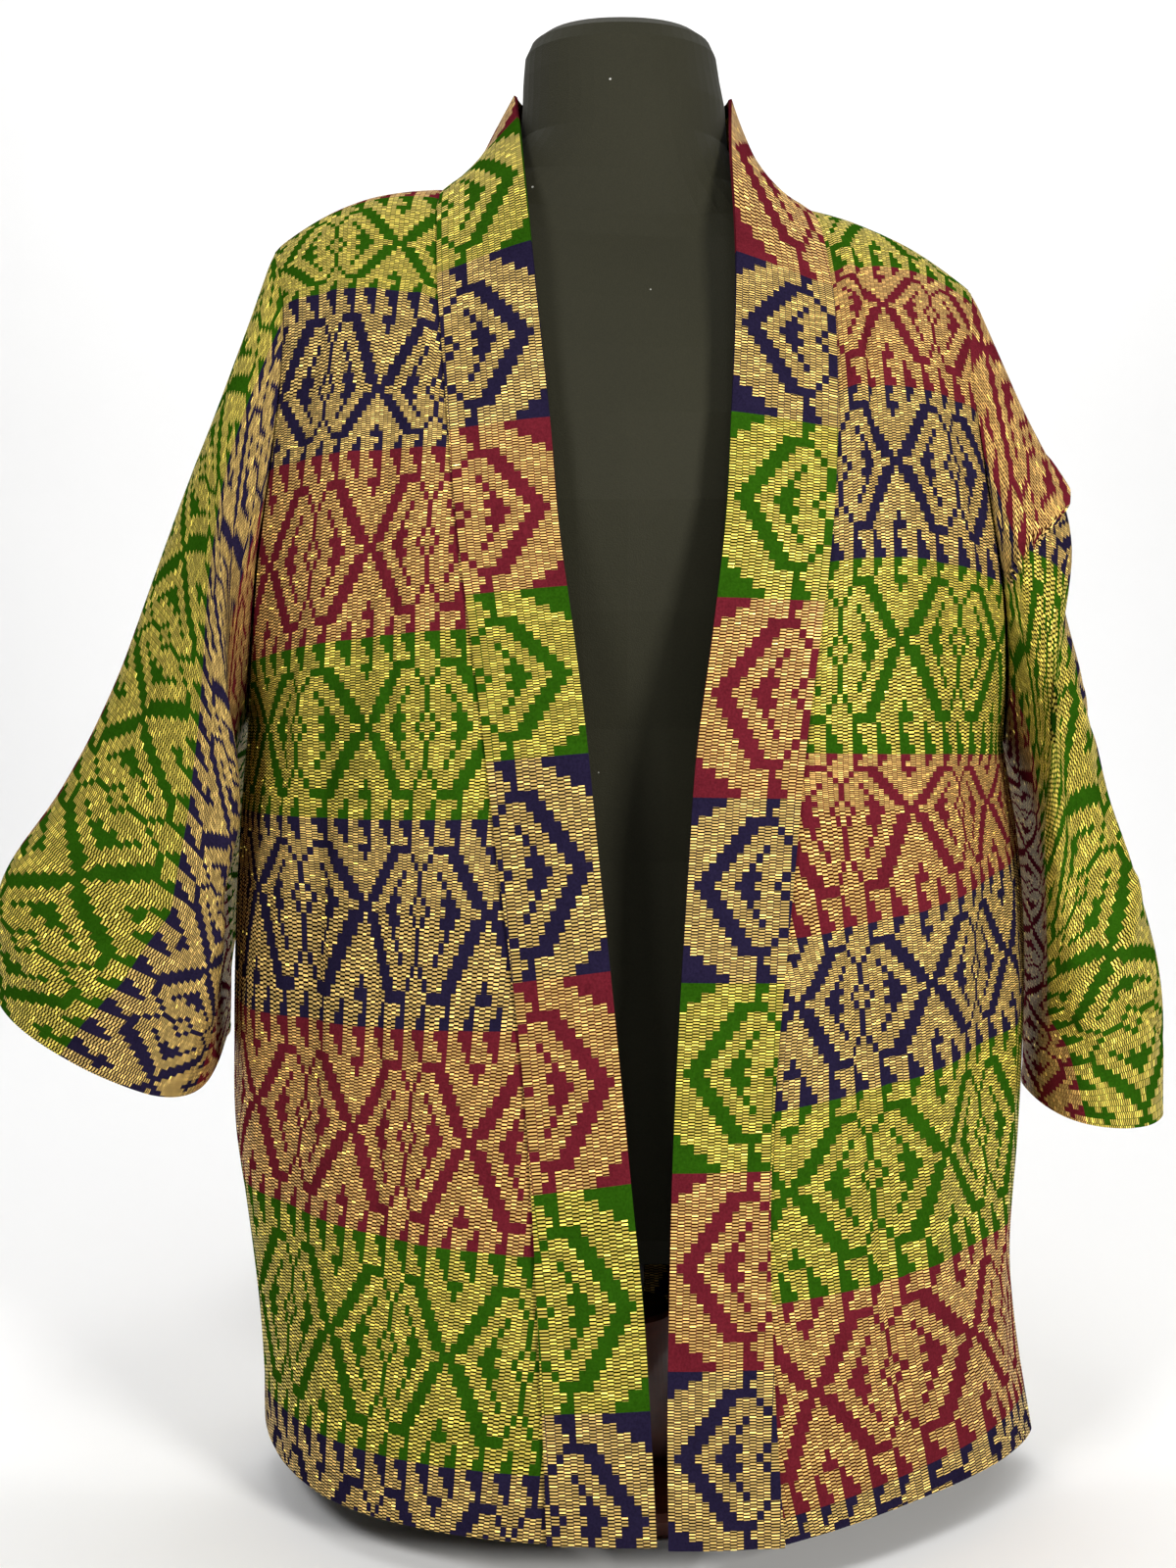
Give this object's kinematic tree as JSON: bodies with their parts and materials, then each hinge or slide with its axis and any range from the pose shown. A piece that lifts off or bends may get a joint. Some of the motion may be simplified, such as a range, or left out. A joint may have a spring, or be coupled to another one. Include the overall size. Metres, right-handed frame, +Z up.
{
  "type": "haori jacket on a limbless dress form with a stand",
  "caption": "Open-fronted, haori-style jacket of banded brocade with wide three-quarter sleeves and a long band collar, worn by a limbless dress form on a short stand.",
  "frame": {"origin": "centre of the stand base's underside, on the floor", "axes": "+Z up, -Y the open front of the jacket, +X towards the wearer's left"},
  "size_m": [0.624, 0.2734, 0.763],
  "materials": {
    "brocade": "banded brocade: flat metallic gold pattern threads over green, purple and red ground bands",
    "form_cover": "matt fine-grained dark cover",
    "pole_metal": "satin black paint",
    "base_wood": "dark stained turned wood"
  },
  "bodies": {
    "root": {"front_right": "brocade", "front_left": "brocade", "back": "brocade", "sleeve_right": "brocade", "sleeve_left": "brocade", "collar": "brocade", "form_torso": "form_cover", "stand_pole": "pole_metal", "stand_base": "base_wood"}
  },
  "joints": []
}
